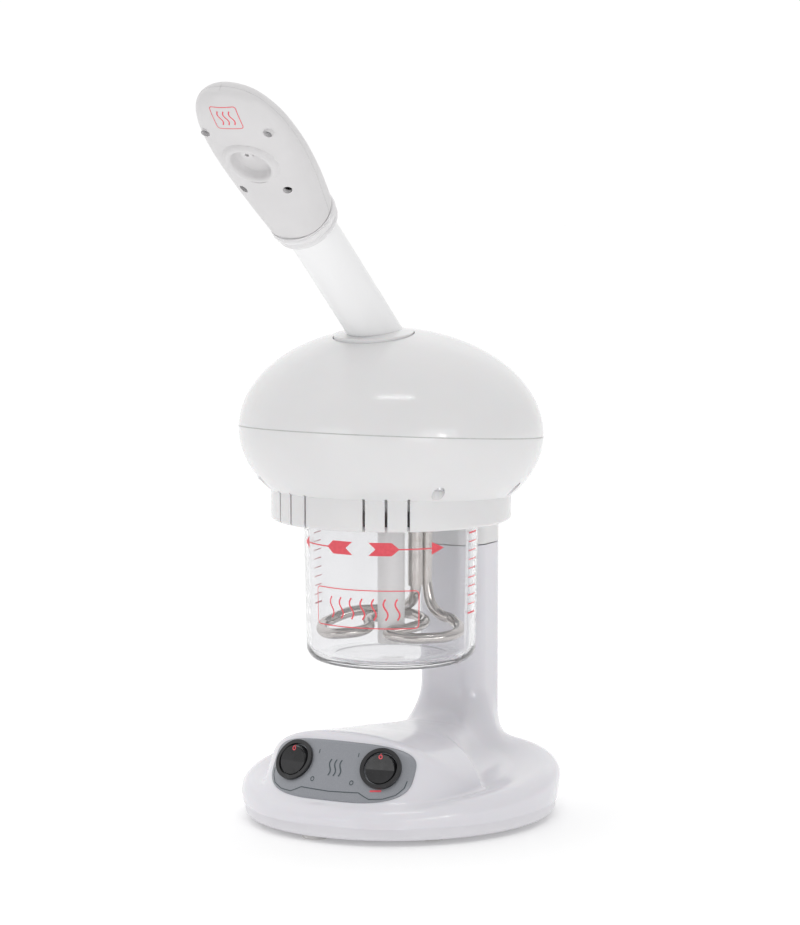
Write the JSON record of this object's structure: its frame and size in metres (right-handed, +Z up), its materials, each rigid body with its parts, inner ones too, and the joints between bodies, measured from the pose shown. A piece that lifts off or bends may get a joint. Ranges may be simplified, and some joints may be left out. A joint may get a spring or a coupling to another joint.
{
  "type": "facial steamer",
  "caption": "Table-top facial steamer: an egg-shaped head on a rear column holds a clear water jar over an oval base, with a swivelling arm and nozzle on top.",
  "frame": {"origin": "where the water jar's axis meets the table, level with the bottoms of the rubber feet", "axes": "+Z up; the control panel and the nozzle face -Y; +X is the object's own left, to a viewer's right"},
  "size_m": [0.1738, 0.2851, 0.4073],
  "materials": {
    "shell_white": "gloss, very slightly warm moulded plastic",
    "nozzle_white": "satin moulded plastic",
    "pan_white": "satin moulded plastic",
    "panel_grey": "satin film over moulded plastic",
    "switch_black": "gloss",
    "rocker_black": "gloss",
    "clear_plastic": "clear moulded plastic",
    "clear_ring": "clear moulded plastic",
    "frosted_plastic": "frosted, lets light through",
    "silicone": "milky, soft",
    "element_steel": "stained stainless tube",
    "screw_steel": "plated",
    "brass": "plain",
    "rubber": "matte",
    "nylon": "natural",
    "board": "satin",
    "lamp_glass": "clear",
    "wire_insulation": "sleeved",
    "cutoff": "plain"
  },
  "bodies": {
    "housing": {"base_pan": "pan_white", "base_screws": "screw_steel", "base_shell": "shell_white", "boiler_cap": "shell_white", "cap_screws": "screw_steel", "column_cover": "shell_white", "column_cover_screw": "screw_steel", "column_wires": "wire_insulation", "control_panel": "panel_grey", "cord_gland": "rubber", "element_flange": "element_steel", "element_sleeve": "element_steel", "flange_nuts": "screw_steel", "head_lower_shell": "shell_white", "head_screws": "screw_steel", "head_upper_shell": "shell_white", "heating_element": "element_steel", "lamp_holders": "nylon", "level_tube": "frosted_plastic", "ozone_board": "board", "ozone_lamp": "lamp_glass", "ozone_switch_body": "switch_black", "power_switch_body": "switch_black", "rocker_pins": "screw_steel", "rubber_feet": "rubber", "steam_riser": "silicone", "switch_terminals": "brass", "terminal_block": "nylon", "thermal_cutoff": "cutoff", "turret_bush": "nylon"},
    "arm": {"turret": "shell_white", "turret_washer": "rubber", "turret_clip": "screw_steel", "arm_tube": "frosted_plastic", "steam_pipe": "silicone", "arm_ring": "clear_ring"},
    "nozzle": {"nozzle_front_shell": "nozzle_white", "nozzle_rear_shell": "nozzle_white", "nozzle_screws": "screw_steel", "nozzle_socket": "nylon", "steam_elbow": "silicone", "nozzle_jet": "nozzle_white"},
    "power_rocker": {"power_rocker": "rocker_black"},
    "ozone_rocker": {"ozone_rocker": "rocker_black"},
    "seal": {"jar_seal": "silicone"},
    "jar": {"jar": "clear_plastic"}
  },
  "joints": [
    {"name": "arm_swivel", "type": "hinge", "parent": "housing", "child": "arm", "pos_m": [0, -0.02, 0.2726], "axis": [0, -0.0872, 0.9962], "range_deg": [-120, 120]},
    {"name": "nozzle_turn", "type": "hinge", "parent": "arm", "child": "nozzle", "pos_m": [0, -0.0989, 0.33881], "axis": [0, -0.766, 0.6428], "continuous": true},
    {"name": "power_rocker_tilt", "type": "hinge", "parent": "housing", "child": "power_rocker", "pos_m": [0.02635, -0.05876, 0.03889], "axis": [-0.9848, -0.1736, 0], "range_deg": [0, 24]},
    {"name": "ozone_rocker_tilt", "type": "hinge", "parent": "housing", "child": "ozone_rocker", "pos_m": [-0.02635, -0.05876, 0.03889], "axis": [-0.9848, 0.1736, 0], "range_deg": [0, 24]},
    {"name": "jar_drop", "type": "slide", "parent": "housing", "child": "seal", "axis": [0, 0, -1], "range_m": [0, 0.028]},
    {"name": "jar_turn", "type": "hinge", "parent": "seal", "child": "jar", "pos_m": [0, 0, 0.1788], "axis": [0, 0, 1], "range_deg": [-60, 0]}
  ]
}
